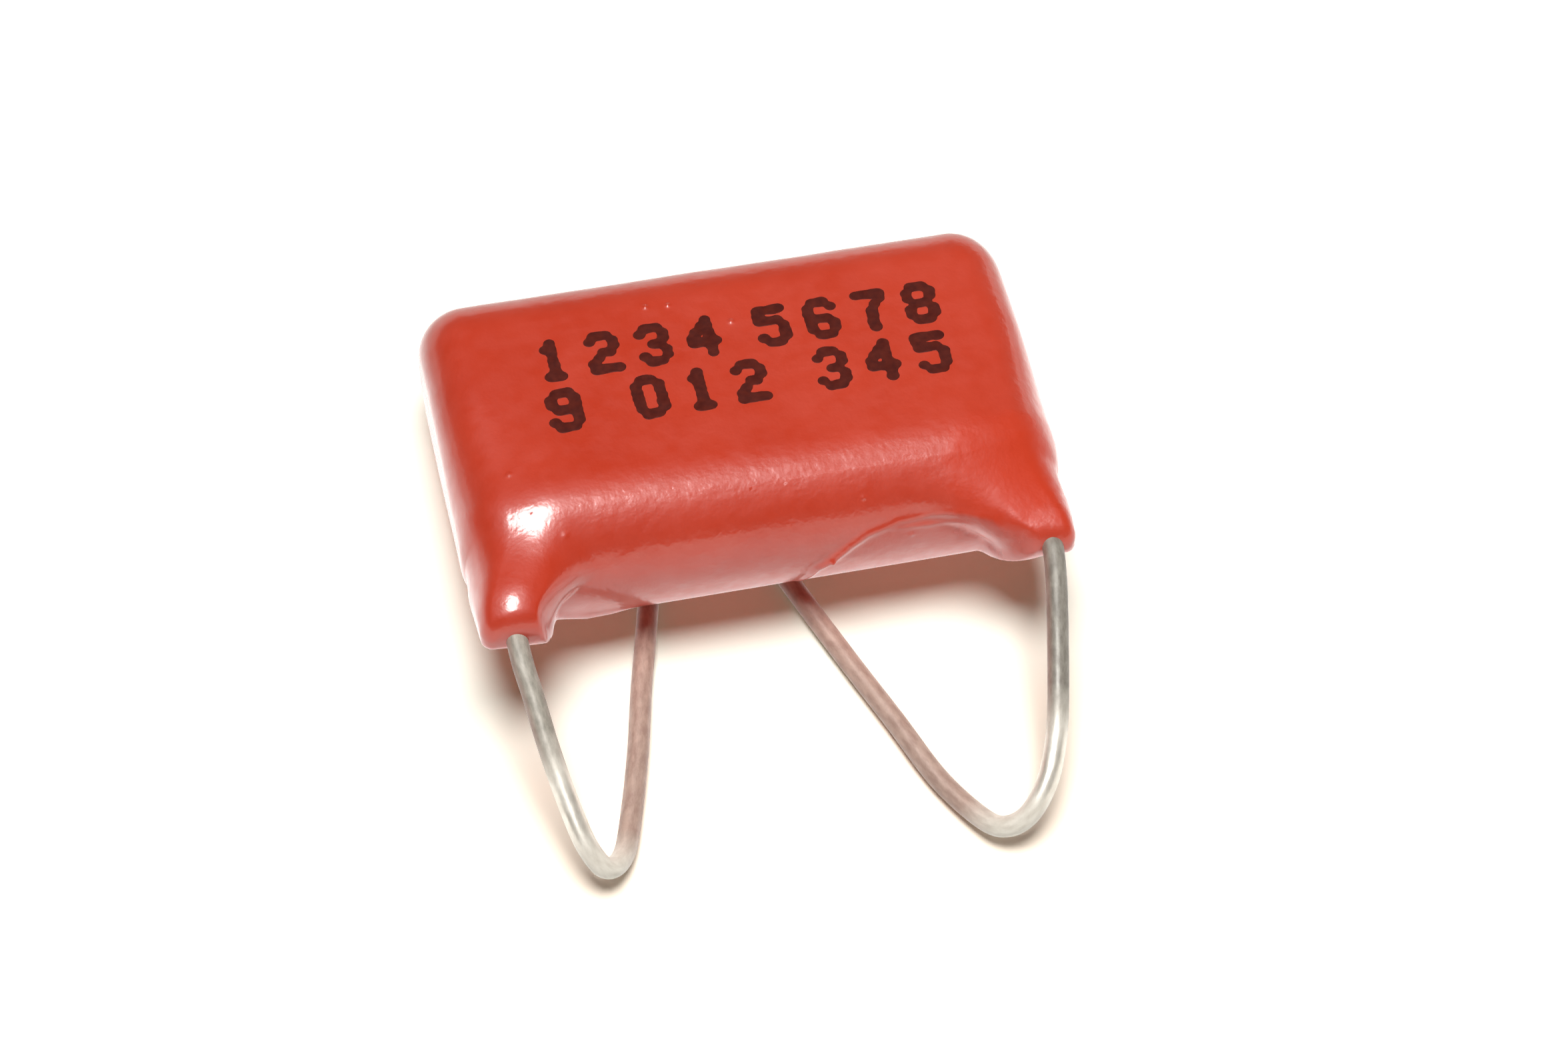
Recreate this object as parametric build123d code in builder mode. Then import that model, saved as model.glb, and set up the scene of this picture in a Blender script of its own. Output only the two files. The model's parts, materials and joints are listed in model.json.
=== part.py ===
from build123d import *
import os
from math import asin, atan2, cos, hypot, sin

# Radial film capacitor with a dipped epoxy coat, lying on its flat back with both leads bent
# back under it. Millimetres: +Z up from the table, +X across the body, +Y away from the leads.

# ---- Driving dimensions ----
lead_pitch = 15.0  # between the two leads where they leave the coat
wire_diameter = 0.6
winding_height = 8.9  # flattened roll of metallized film, measured along the leads
winding_thickness = 3.3
slit_height = 5.2  # left where the roll came off its mandrel and was pressed flat
slit_width = 0.12
film_thickness = 0.12  # clear film wrapped round the roll
film_margin = 0.15  # the film stops this far short of each end spray
spray_thickness = 0.4  # zinc sprayed on each end of the roll
weld_reach = 4.1  # the lead lies on the zinc up to this far above the middle
coat_face = 0.63  # epoxy over the two flat faces
coat_edge = 0.745  # epoxy over the two long edges
coat_side = 0.725  # epoxy outside each lead
side_rounding = 1.6  # radius round the two short sides
foot_wall = 0.55  # epoxy round each lead where it leaves the coat
foot_length = 1.35  # how far each foot stands out of the long edge
foot_rounding = 0.3  # round the tip of the foot
meniscus = 1.1  # hollow radius where the wet epoxy crept from body to foot
lead_offset = 0.45  # the leads leave this far in front of the middle of the coat
bond_gap = 0.02  # between pieces that are bonded face to face
seat_gap = 0.03  # between the back of the coat and the wire it leans on

# ---- How the leads are bent, as chosen: places over the table, from under the body's middle ----
lead_reach = 13.68  # to the far side of the longer hairpin
end_reach = 3.1  # to the free ends, down the back of the body
foot_run = 0.5  # straight stretch outside the foot
foot_bend = 0.9  # bend radii of the wire
slack_bend = 4.0
left_slack, left_hairpin, left_end = (-7.16, -9.6, 2.7), (-6.1, -14.4), -3.2
right_slack, right_hairpin, right_end = (7.0, -9.4, 2.92), (5.32, -16.5), 0.5
left_hairpin_bend = 0.9
right_hairpin_bend = 1.55

# ---- Sizes that follow ----
wire_radius = wire_diameter / 2
foot_radius = wire_radius + foot_wall
wrap_height = winding_height + 2 * film_thickness
wrap_thickness = winding_thickness + 2 * film_thickness
core_length = lead_pitch - wire_diameter - 2 * bond_gap  # over both end sprays
winding_length = core_length - 2 * (spray_thickness + bond_gap)
film_length = winding_length - 2 * film_margin
body_width = lead_pitch + wire_diameter + 2 * coat_side
body_height = wrap_height + 2 * coat_edge
body_thickness = wrap_thickness + 2 * coat_face
edge_radius = body_thickness / 2  # the long edges are round right through

# The body leans on its far long edge and on the free ends of the two leads.
edge_centre = body_height / 2 - edge_radius
lean = atan2(edge_radius, edge_centre + end_reach)
lean += asin((wire_diameter + seat_gap - edge_radius) / hypot(edge_radius, edge_centre + end_reach))
rest_height = edge_radius + edge_centre * sin(lean)
far_side = edge_radius + edge_centre * cos(lean)
lay_back = (lead_reach - far_side) / 2  # brings the middle of the whole part over its origin

body = Plane((0, lay_back, rest_height), x_dir=(1, 0, 0), z_dir=(0, sin(lean), cos(lean)))
across = Plane(body.origin, x_dir=body.y_dir, z_dir=body.x_dir)


def flat_roll(length, height, thickness, mode=Mode.ADD):
    """Solid with two flat faces and two round edges, running across the body."""
    with BuildSketch(across.offset(-length / 2)) as section:
        SlotOverall(height, thickness)
    extrude(section.sketch, amount=length, mode=mode)


def along_lead(side, start, length, radius, mode=Mode.ADD):
    """Round bar on the line where a lead leaves the body, from a height above the middle."""
    top = body.from_local_coords((side * lead_pitch / 2, start, lead_offset))
    with BuildSketch(Plane(top, x_dir=body.z_dir, z_dir=-body.y_dir)) as section:
        Circle(radius)
    extrude(section.sketch, amount=length, mode=mode)


def bent_lead(side, slack, hairpin, hairpin_bend, free_end):
    """Wire welded up the zinc, out through the foot, round the hairpin and back under the body."""
    x = side * lead_pitch / 2
    foot_tip = -body_height / 2 - foot_length
    end_y = body.from_local_coords((0, -end_reach, -edge_radius)).Y
    corners = [
        body.from_local_coords((x, weld_reach, lead_offset)),
        body.from_local_coords((x, foot_tip - foot_run, lead_offset)),
        Vector(*slack) + (0, lay_back, 0),
        Vector(*hairpin) + (0, lay_back, wire_radius),
        Vector(free_end, end_y, wire_radius),
    ]
    with BuildLine() as path:
        FilletPolyline(*corners, radius=[foot_bend, slack_bend, hairpin_bend])
    with BuildSketch(Plane(path.line @ 0, z_dir=path.line % 0)) as section:
        Circle(wire_radius)
    sweep(section.sketch, path=path.line)


# ---- Roll of metallized film, pressed flat ----
with BuildPart() as film_winding:
    flat_roll(winding_length, winding_height, winding_thickness)
    flat_roll(winding_length, slit_height, slit_width, mode=Mode.SUBTRACT)

# ---- Clear film round the roll ----
with BuildPart() as cover_film:
    flat_roll(film_length, wrap_height, wrap_thickness)
    inner_height = winding_height + 2 * bond_gap
    inner_thickness = winding_thickness + 2 * bond_gap
    flat_roll(film_length, inner_height, inner_thickness, mode=Mode.SUBTRACT)

# ---- Zinc sprayed on each end of the roll ----
with BuildPart() as end_spray_left:
    with BuildSketch(across.offset(-core_length / 2)):
        SlotOverall(winding_height, winding_thickness)
    extrude(amount=spray_thickness)

with BuildPart() as end_spray_right:
    with BuildSketch(across.offset(core_length / 2)):
        SlotOverall(winding_height, winding_thickness)
    extrude(amount=-spray_thickness)

# ---- Tinned leads ----
with BuildPart() as lead_left:
    bent_lead(-1, left_slack, left_hairpin, left_hairpin_bend, left_end)

with BuildPart() as lead_right:
    bent_lead(1, right_slack, right_hairpin, right_hairpin_bend, right_end)

# ---- Dipped epoxy coat: closed round the roll and drawn down each lead ----
with BuildPart() as epoxy_coat:
    flat_roll(body_width, body_height, body_thickness)
    fillet(faces().filter_by(Axis.X).edges(), radius=side_rounding)
    for side in (-1, 1):
        along_lead(side, 0, body_height / 2 + foot_length, foot_radius)
        fillet(edges(Select.NEW), radius=meniscus)
    feet = faces().filter_by(GeomType.PLANE).filter_by(Axis(body.origin, body.y_dir))
    fillet(feet.edges(), radius=foot_rounding)
    # Inside: the wrapped roll with its end sprays, and the two wires.
    hollow_height = wrap_height + 2 * bond_gap
    hollow_thickness = wrap_thickness + 2 * bond_gap
    flat_roll(core_length + 2 * bond_gap, hollow_height, hollow_thickness, mode=Mode.SUBTRACT)
    for side in (-1, 1):
        bore_start = weld_reach + bond_gap
        bore_length = bore_start + body_height / 2 + foot_length
        along_lead(side, bore_start, bore_length, wire_radius + bond_gap, mode=Mode.SUBTRACT)

os.makedirs("parts", exist_ok=True)
film_winding.part.label = "film_winding"
export_step(film_winding.part, "parts/film_winding.step")
cover_film.part.label = "cover_film"
export_step(cover_film.part, "parts/cover_film.step")
end_spray_left.part.label = "end_spray_left"
export_step(end_spray_left.part, "parts/end_spray_left.step")
end_spray_right.part.label = "end_spray_right"
export_step(end_spray_right.part, "parts/end_spray_right.step")
lead_left.part.label = "lead_left"
export_step(lead_left.part, "parts/lead_left.step")
lead_right.part.label = "lead_right"
export_step(lead_right.part, "parts/lead_right.step")
epoxy_coat.part.label = "epoxy_coat"
export_step(epoxy_coat.part, "parts/epoxy_coat.step")
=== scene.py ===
# %% [markdown]
# # Dressing a dipped film capacitor
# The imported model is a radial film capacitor: a flattened roll of metallized film, zinc sprayed
# on both ends of the roll, a tinned wire welded to each, and one thick coat of red epoxy that
# the lot was dipped in. It lies on its flat back with both leads bent back under it.
# The CAD solids give every size. Here the two things that the eye meets, the dipped coat and
# the soft wire, are built again as smooth meshes in exactly the same places, and every piece
# gets a finish from shader nodes.

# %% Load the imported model
import json
from contextlib import contextmanager
from math import pi, radians

import bmesh
import bpy
import numpy as np
from mathutils import Matrix, Vector


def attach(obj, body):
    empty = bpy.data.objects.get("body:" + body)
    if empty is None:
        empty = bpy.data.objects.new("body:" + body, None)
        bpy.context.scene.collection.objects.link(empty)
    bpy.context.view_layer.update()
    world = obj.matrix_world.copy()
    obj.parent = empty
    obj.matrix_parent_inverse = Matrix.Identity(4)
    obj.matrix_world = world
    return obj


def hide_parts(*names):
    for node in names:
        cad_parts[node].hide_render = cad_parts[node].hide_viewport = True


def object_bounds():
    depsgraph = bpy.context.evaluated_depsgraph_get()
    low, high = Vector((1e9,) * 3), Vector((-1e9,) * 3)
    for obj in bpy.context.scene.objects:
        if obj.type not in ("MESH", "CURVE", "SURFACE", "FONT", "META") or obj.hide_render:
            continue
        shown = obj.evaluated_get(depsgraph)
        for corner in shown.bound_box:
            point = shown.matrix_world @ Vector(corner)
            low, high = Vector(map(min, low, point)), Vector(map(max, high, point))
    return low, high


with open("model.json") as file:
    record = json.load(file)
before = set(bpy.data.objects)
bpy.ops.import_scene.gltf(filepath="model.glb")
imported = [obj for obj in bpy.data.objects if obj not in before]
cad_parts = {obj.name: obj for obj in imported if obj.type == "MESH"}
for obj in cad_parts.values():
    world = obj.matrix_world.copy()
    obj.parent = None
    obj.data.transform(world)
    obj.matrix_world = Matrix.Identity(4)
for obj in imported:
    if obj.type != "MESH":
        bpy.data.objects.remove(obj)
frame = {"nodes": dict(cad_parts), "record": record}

cad_low, cad_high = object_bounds()
record = frame["record"]
MM = 0.001
print("CAD box in mm:", [round(s / MM, 2) for s in cad_high - cad_low])

# %% [markdown]
# ## Where the body lies
# The body leans a little, because it rests on its far long edge and on the two free wire ends.
# All shaping is easier in the body's own directions: across it (x), up towards the edge without
# leads (v) and out of the printed face (w). The record gives the middle of that face and the
# way it points, and the CAD coat's own corner points give the rest.

# %% The body's own directions, in millimetres
face = next(mount for mount in record["mounts"] if mount["name"] == "front_face")
outward = np.array(face["axis"], float)
outward /= np.linalg.norm(outward)
across = np.array([1.0, 0.0, 0.0])
upward = np.cross(outward, across)
body_axes = np.array([across, upward, outward])


def node_points(node):
    """The corner points of a CAD node, in millimetres."""
    mesh = frame["nodes"][node].data
    points = np.empty(len(mesh.vertices) * 3)
    mesh.vertices.foreach_get("co", points)
    return points.reshape(-1, 3) / MM


coat_span = (node_points("epoxy_coat") - np.array(face["pos_m"]) / MM) @ body_axes.T
half_thickness = -coat_span[:, 2].min() / 2
half_width = coat_span[:, 0].max()
half_height = coat_span[:, 1].max()
foot_tip = coat_span[:, 1].min()
body_middle = np.array(face["pos_m"]) / MM - half_thickness * outward


def to_world(points):
    """From the body's directions in millimetres to the shared frame in metres."""
    return (np.asarray(points) @ body_axes + body_middle) * MM


def to_body(points):
    return (np.asarray(points) - body_middle) @ body_axes.T


print("half width, height, thickness:", half_width, half_height, half_thickness)
print("foot tips at", foot_tip)

# %% [markdown]
# ## Camera
# The view looks down at about 55 degrees from in front and a little to the left, from just over
# 100 mm away, with the slight tilt of a hand-held camera. A long lens keeps the body's edges
# nearly parallel. The near clipping plane is close, because the whole part is 19 mm long.

# %% Camera
camera_data = bpy.data.cameras.new("bench_camera")
camera_data.sensor_width = 36.0
camera_data.lens = 87.9
camera_data.clip_start, camera_data.clip_end = 0.001, 50.0
camera = bpy.data.objects.new("bench_camera", camera_data)
bpy.context.scene.collection.objects.link(camera)
bpy.context.scene.camera = camera

aim = Vector((0.8711, 1.6685, 1.1422)) * MM
camera.location = Vector((-14.605, -58.9311, 90.6321)) * MM
look = (aim - camera.location).normalized()
camera.rotation_mode = "QUATERNION"
hand_tilt = Matrix.Rotation(radians(2.519), 4, "Z").to_quaternion()
camera.rotation_quaternion = look.to_track_quat("-Z", "Y") @ hand_tilt
print("camera is", round((aim - camera.location).length / MM, 1), "mm away")

# %% [markdown]
# ## Helpers for node materials
# Every finish below is a handful of nodes. These helpers make a material, add a node with its
# settings, and join two sockets, so that each finish reads as a short list of what it does.
# Values that are the same all over a surface are written straight on the shader.

# %% Material helpers


def new_finish(name):
    """A material with an empty Principled shader; returns it with its tree and shader."""
    material = bpy.data.materials.new(name)
    material.use_nodes = True
    tree = material.node_tree
    return material, tree, tree.nodes["Principled BSDF"]


def add(tree, kind, inputs=None, **settings):
    """A node with its settings; each input is a plain value or a socket to join."""
    node = tree.nodes.new(kind)
    for key, value in settings.items():
        setattr(node, key, value)
    for key, value in (inputs or {}).items():
        if isinstance(value, bpy.types.NodeSocket):
            tree.links.new(value, node.inputs[key])
        else:
            node.inputs[key].default_value = value
    return node


def place_on(tree):
    """Where a point of the piece lies, in metres."""
    return add(tree, "ShaderNodeTexCoord").outputs["Object"]


def along_axis(tree, vector, axis):
    return add(tree, "ShaderNodeSeparateXYZ", {0: vector}).outputs[axis]


def calculate(tree, operation, first, second, **settings):
    return add(tree, "ShaderNodeMath", {0: first, 1: second}, operation=operation, **settings).outputs[0]


def noise(tree, where, scale, detail=2.0, roughness=0.5, millimetre=MM):
    """Noise over a place vector; scale is in lumps per millimetre of that vector."""
    lumps = {"Vector": where, "Scale": scale / millimetre, "Detail": detail, "Roughness": roughness}
    return add(tree, "ShaderNodeTexNoise", lumps).outputs["Fac"]


def remap(tree, value, low, high, to_low, to_high, **settings):
    spread = {"Value": value, 1: low, 2: high, 3: to_low, 4: to_high}
    return add(tree, "ShaderNodeMapRange", spread, **settings).outputs[0]


def blend_colour(tree, factor, first, second):
    """A mix of two colours, each one three numbers or a socket."""
    first, second = ((*colour, 1.0) if isinstance(colour, tuple) else colour
                     for colour in (first, second))
    mixed = add(tree, "ShaderNodeMix", {"Factor": factor, 6: first, 7: second}, data_type="RGBA")
    return mixed.outputs[2]


def bump(tree, height, depth, strength=1.0, below=None):
    """Normals for lumps of a depth in millimetres, laid over another bump if there is one."""
    lumps = {"Height": height, "Distance": depth * MM, "Strength": strength}
    if below is not None:
        lumps["Normal"] = below
    return add(tree, "ShaderNodeBump", lumps).outputs[0]


print("helpers for finishes are ready")

# %% [markdown]
# ## Bench
# The part lies on a plain white bench. To keep the bench white right up to the shadow without
# more light on the part, only the camera sees it in a colour brighter than white, a little
# warmer in front of the body, which tints the soft rims of the shadows. The body's own shadow
# gets a touch of green and blue, because the red coat throws much of its colour there. Shiny
# surfaces see the near side of the bench brighter, as a glossy coat does in a light tent.

# %% Bench
FLOOR_REACH = 4.0  # metres
BENCH_LIT = (0.74, 0.75, 0.74)  # the colour that lights the part
BENCH_AHEAD = (1.42, 1.29, 1.14)  # what the camera sees in front of the body
BENCH_BESIDE = (1.22, 1.25, 1.17)  # what the camera sees beside and behind it
SHADOW_LIFT = (0.0, 0.045, 0.025)
MIRROR_LIFT = (0.98, 0.97, 0.95)


@contextmanager
def reshaping(mesh):
    """Opens a mesh for editing and writes the result back."""
    shaping = bmesh.new()
    shaping.from_mesh(mesh)
    yield shaping
    shaping.to_mesh(mesh)
    shaping.free()


floor_mesh = bpy.data.meshes.new("bench_floor")
with reshaping(floor_mesh) as shaping:
    bmesh.ops.create_grid(shaping, x_segments=8, y_segments=8, size=FLOOR_REACH)
floor = bpy.data.objects.new("bench_floor", floor_mesh)
bpy.context.scene.collection.objects.link(floor)
floor.location.z = cad_low.z

floor_finish = bpy.data.materials.new("white_bench")
floor_finish.use_nodes = True
tree = floor_finish.node_tree
tree.nodes.clear()
rays = add(tree, "ShaderNodeLightPath").outputs
backwards = along_axis(tree, place_on(tree), "Y")
beside_body = remap(tree, backwards, -5 * MM, -2 * MM, 0.0, 1.0)
near_side = remap(tree, backwards, 8 * MM, 16 * MM, 1.0, 0.0)
seen = blend_colour(tree, beside_body, BENCH_AHEAD, BENCH_BESIDE)
seen = blend_colour(tree, rays["Is Camera Ray"], BENCH_LIT, seen)
paper = add(tree, "ShaderNodeBsdfDiffuse", {"Color": seen}).outputs[0]
in_view = calculate(tree, "MULTIPLY", rays["Is Camera Ray"], beside_body)
mirrored = calculate(tree, "MAXIMUM", rays["Is Glossy Ray"], rays["Is Transmission Ray"])
mirrored = calculate(tree, "MULTIPLY", mirrored, near_side)
for colour, strength in ((SHADOW_LIFT, in_view), (MIRROR_LIFT, mirrored)):
    lift = add(tree, "ShaderNodeEmission", {"Color": (*colour, 1.0), "Strength": strength}).outputs[0]
    paper = add(tree, "ShaderNodeAddShader", {0: paper, 1: lift}).outputs[0]
add(tree, "ShaderNodeOutputMaterial", {"Surface": paper})
floor_mesh.materials.append(floor_finish)
print("bench at z =", floor.location.z)

# %% [markdown]
# ## Surroundings and lamps
# The low surroundings are white, like the walls of a light tent, while the air above them is
# darker. That is what gives glossy epoxy a clear red face with pale edges, and tin its dark and
# light streaks. Matt surfaces get only a share of the walls' light. Two lamps stand almost
# overhead: a broad one lights everything and casts the soft shadow, and a smaller one, further
# to the left, only makes the glints in what is glossy.

# %% Surroundings
WALL_LIGHT, CEILING_LIGHT = 1.6, 0.07
WALL_END = (0.08, 0.18)  # how high the walls fade out, as the sine of the height
WALL_SHARE = 0.22
TENT_TILT = (-0.05, 0.17, 1.0)
TENT_COLOUR = (1.0, 0.94, 0.87, 1.0)

world = bpy.data.worlds.new("light_tent")
world.use_nodes = True
bpy.context.scene.world = world
tree = world.node_tree
tree.nodes.clear()
rays = add(tree, "ShaderNodeLightPath").outputs
direction = add(tree, "ShaderNodeTexCoord").outputs["Generated"]
height = add(tree, "ShaderNodeVectorMath", {0: direction, 1: TENT_TILT}, operation="DOT_PRODUCT")
walls = remap(tree, height.outputs["Value"], *WALL_END, WALL_LIGHT, CEILING_LIGHT,
              interpolation_type="SMOOTHSTEP")
share = remap(tree, rays["Is Glossy Ray"], 0.0, 1.0, WALL_SHARE, 1.0)
strength = calculate(tree, "MULTIPLY", walls, share)
tent = add(tree, "ShaderNodeBackground", {"Color": TENT_COLOUR, "Strength": strength}).outputs[0]
white = add(tree, "ShaderNodeBackground", {"Color": (1.0, 1.0, 1.0, 1.0), "Strength": 1.0}).outputs[0]
pick = add(tree, "ShaderNodeMixShader", {0: rays["Is Camera Ray"], 1: tent, 2: white}).outputs[0]
add(tree, "ShaderNodeOutputWorld", {"Surface": pick})
print("surroundings:", world.name)

# %% Lamps


def overhead_light(name, energy, colour, towards, angle):
    """A sun-type light, which stands in for a far lamp of the given width in degrees."""
    data = bpy.data.lights.new(name, "SUN")
    data.energy, data.color, data.angle = energy, colour, radians(angle)
    light = bpy.data.objects.new(name, data)
    bpy.context.scene.collection.objects.link(light)
    light.rotation_mode = "QUATERNION"
    light.rotation_quaternion = Vector(towards).to_track_quat("Z", "Y")
    return light


soft_lamp = overhead_light("soft_lamp", 3.1, (1.0, 0.97, 0.93), (-0.02, 0.03, 1.0), 31.0)
soft_lamp.visible_glossy = False
glint_lamp = overhead_light("glint_lamp", 3.4, (1.0, 1.0, 1.0), (-0.21, -0.05, 1.0), 22.0)
glint_lamp.visible_diffuse = False
bpy.context.scene.view_settings.view_transform = "Standard"
print("lamps:", soft_lamp.name, glint_lamp.name)

# %% [markdown]
# ## The dipped coat as a field
# Dipped epoxy has no sharp edges: it rounds the roll, thins towards the short sides, creeps
# down each wire and hardens there as a foot. Such a form is easiest as a field, a formula that
# is zero on the surface, below zero inside and above zero outside. Two forms are joined by a
# smooth minimum, which fills the corner between them just as wet resin does.

# %% Formulas for the body and the feet
EDGE_RADIUS = half_thickness
STRAIGHT = half_height - EDGE_RADIUS
SIDE_ROUNDING = 1.4
THIN_FROM, THIN_TO = 5.6, 6.9  # the coat thins faster and faster, and from here on evenly
THINNING = 0.085
THIN_BELOW, THIN_FADE = 1.5, 4.0  # the upper part keeps its thickness


def rounded_meeting(first, second, radius):
    """The inside of two forms, with their meeting edge rounded."""
    a, b = first + radius, second + radius
    outside = np.hypot(np.maximum(a, 0), np.maximum(b, 0))
    return np.minimum(np.maximum(a, b), 0) + outside - radius


def melt(first, second, reach):
    """Both forms, with the corner between them filled."""
    near = np.maximum(reach - np.abs(first - second), 0) / reach
    return np.minimum(first, second) - near * near * reach / 4


def smooth_share(value):
    """From 0 to 1 with soft ends."""
    value = np.clip(value, 0, 1)
    return value * value * (3 - 2 * value)


def thinning(x, v):
    """How much thinner the lower part of the coat is near the short sides."""
    bent = np.clip(np.abs(x), THIN_FROM, THIN_TO) - THIN_FROM
    beyond = np.maximum(np.abs(x) - THIN_TO, 0)
    drop = THINNING * (bent**2 + 2 * (THIN_TO - THIN_FROM) * beyond)
    return drop * smooth_share((THIN_BELOW - v) / THIN_FADE)


def roll_form(x, v, w):
    """The coated roll without its feet."""
    section = np.hypot(np.maximum(np.abs(v) - STRAIGHT, 0), w) - EDGE_RADIUS + thinning(x, v)
    return rounded_meeting(section, np.abs(x) - half_width, SIDE_ROUNDING)


print("edge radius", EDGE_RADIUS, "straight", STRAIGHT)

# %% [markdown]
# ## The feet
# The wire's place in each foot comes from the CAD leads. Seen from the side, the front of a foot
# is a line whose slope changes with the height above the tip, until it touches the body's round
# edge. Across, this front is held round the wire and then let go into the body's own section, in
# a wide hollow curve that grows wider further up. The outer flank simply carries on from the
# short side of the body. Back and tip are planes with rounded meetings. The left foot is the
# wider one, because more resin ran down that side.

# %% Values for the feet


def wire_place(node):
    """Across and outward place of a lead where it leaves the body."""
    points = to_body(node_points(node))
    in_coat = points[(points[:, 1] > foot_tip) & (points[:, 2] > -half_thickness / 2)]
    low, high = in_coat.min(0), in_coat.max(0)
    return (low[0] + high[0]) / 2, (low[2] + high[2]) / 2


wires = {side: wire_place("lead_" + side) for side in ("left", "right")}
WIRE_RADIUS = 0.3
FOOT_REACH = {"left": (0.95, 1.05), "right": (0.72, 0.95)}  # outward and inward of the wire
FOOT_SPREAD = {"left": (0.78, 0.6, 2.7), "right": (1.15, 1.0, 2.5)}  # inner curve: tip, middle, top
FOOT_TAPER = {"left": 0.05, "right": 0.25}  # how much narrower the tip is inside
FOOT_CROWN = {"left": (0.33, -0.22), "right": (0.06, 0.1)}  # arch of the front, and its middle
FOOT_TIP = {"left": (-0.2, 0.08), "right": (-0.06, -0.08)}  # end above the CAD foot's, and slant
FOOT_SLOPES = {  # of the front, as (height above the tip, slope)
    "left": [(-0.3, 0.86), (0.215, 0.58), (0.565, 0.44), (0.915, 0.27), (1.4, 0.22), (2.0, 0.3)],
    "right": [(-0.3, 0.8), (0.3, 0.6), (1.0, 0.45), (1.8, 0.43)],
}
TOUCH_SLOPE = {"left": 0.44, "right": 0.55}  # where the front touches the body's round edge
FLANK_ROUNDING, BACK_ROUNDING, TIP_ROUNDING = 0.35, 0.3, 0.4
BACK_BEHIND = 0.5  # from the wire to the back of the tip
OUTER_BACK_SLOPE, INNER_BACK_SLOPE = 0.22, 0.9
LEAST_FILL, MOST_FILL = 0.02, 0.6  # of the corner between foot and body
print("wires at", wires)

# %% Formula for a foot


def foot_front(side, above, w):
    """The front as a form, its share of the way up, and how far up it touches the body."""
    slope = TOUCH_SLOPE[side]
    touch_w = EDGE_RADIUS / np.hypot(1, slope)
    touch = -STRAIGHT - slope * touch_w - foot_tip
    heights, slopes = np.array([*FOOT_SLOPES[side], (touch, slope)]).T
    fine = np.linspace(heights[0], touch, 800)
    rise = np.interp(fine, heights, slopes)
    rise = np.concatenate([[0], np.cumsum((rise[1:] + rise[:-1]) / 2)]) * (fine[1] - fine[0])
    front_w = np.interp(above, fine, touch_w - rise[-1] + rise)
    up = smooth_share(above / touch)
    rounded = np.hypot(slope * touch_w, w - front_w + touch_w) - EDGE_RADIUS
    return up * rounded + (1 - up) * (w - front_w) / np.hypot(1, slope), up, touch


def held_share(side, outer, above, w, up):
    """How far the foot's front holds: 1 round the wire, 0 where only the body is left."""
    in_front = smooth_share((w + 0.5) / 1.9)
    risen = in_front * smooth_share(above / 1.2)
    tip_spread, middle_spread, top_spread = FOOT_SPREAD[side]
    spread = tip_spread + middle_spread * risen + top_spread * in_front * up**2
    tapered = FOOT_TAPER[side] * (1 - smooth_share(above / 0.7))
    start = FOOT_REACH[side][1] - 0.42 + 0.45 * risen - tapered
    return 1 - smooth_share((-outer - start) / spread)


def foot_form(side, x, v, w):
    """One foot, and how widely its corner with the body is filled."""
    wire_x, wire_w = wires[side]
    outer, above = np.sign(wire_x) * (x - wire_x), v - foot_tip
    front, up, touch = foot_front(side, above, w)
    crown, crown_middle = FOOT_CROWN[side]
    front = front + crown * (1 - up) * (outer - crown_middle) ** 2 + up * thinning(x, v)
    section = np.hypot(v + STRAIGHT, w) - EDGE_RADIUS + thinning(x, v)
    hold = held_share(side, outer, above, w, up)
    form = hold * front + (1 - hold) * section
    outer_reach, side_room = FOOT_REACH[side][0], half_width - np.abs(wire_x)
    flank = outer - outer_reach - (side_room - outer_reach) * up
    form = rounded_meeting(form, flank, FLANK_ROUNDING + (SIDE_ROUNDING - FLANK_ROUNDING) * up)
    inner = smooth_share((0.2 - outer) / 0.8)
    back_slope = OUTER_BACK_SLOPE + (INNER_BACK_SLOPE - OUTER_BACK_SLOPE) * inner
    back = (wire_w - BACK_BEHIND - back_slope * np.clip(above, 0, 3) - w) / np.hypot(1, back_slope)
    form = rounded_meeting(form, back, BACK_ROUNDING)
    tip_end, tip_slant = FOOT_TIP[side]
    form = rounded_meeting(form, tip_end + tip_slant * outer - above, TIP_ROUNDING)
    low_inside = smooth_share((wire_w - 0.2 - w) / 0.4) * smooth_share((0.4 - outer) / 0.8)
    fill = LEAST_FILL + MOST_FILL * hold * (1 - up) * low_inside
    far_off = -outer - 7  # no foot reaches the other half of the body
    return np.maximum(np.maximum(form, above - touch), far_off), fill


for side in wires:
    print(side, "foot touches the body", round(foot_front(side, 0.0, 0.0)[2], 2), "mm above its tip")

# %% [markdown]
# ## Runs and laps in the resin
# While it drained, the resin left a low lap across the edge with the leads, and a fat bead by
# the left foot. They are drawn on the coat's girth: s is the distance round the section, zero
# at the middle of the lead edge and growing towards the printed face. Each run is a line of
# points (x, s, height), and the coat swells by that height within a narrow width of the line.
# Three more low runs follow the far edge, and a pimple stands wherever a speck was coated over.

# %% Runs, laps and slow waves


def girth(v, w):
    """Distance round the section from the middle of the lead edge."""
    round_part = EDGE_RADIUS * np.arctan2(w, -(v + STRAIGHT))
    flat_part = np.sign(w) * (EDGE_RADIUS * pi / 2 + v + STRAIGHT)
    return np.where(v < -STRAIGHT, round_part, flat_part)


def far_girth(v, w):
    """Distance round the far edge from its middle, growing towards the printed face."""
    return EDGE_RADIUS * np.arctan2(w, np.maximum(v - STRAIGHT, 1e-3))


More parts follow.
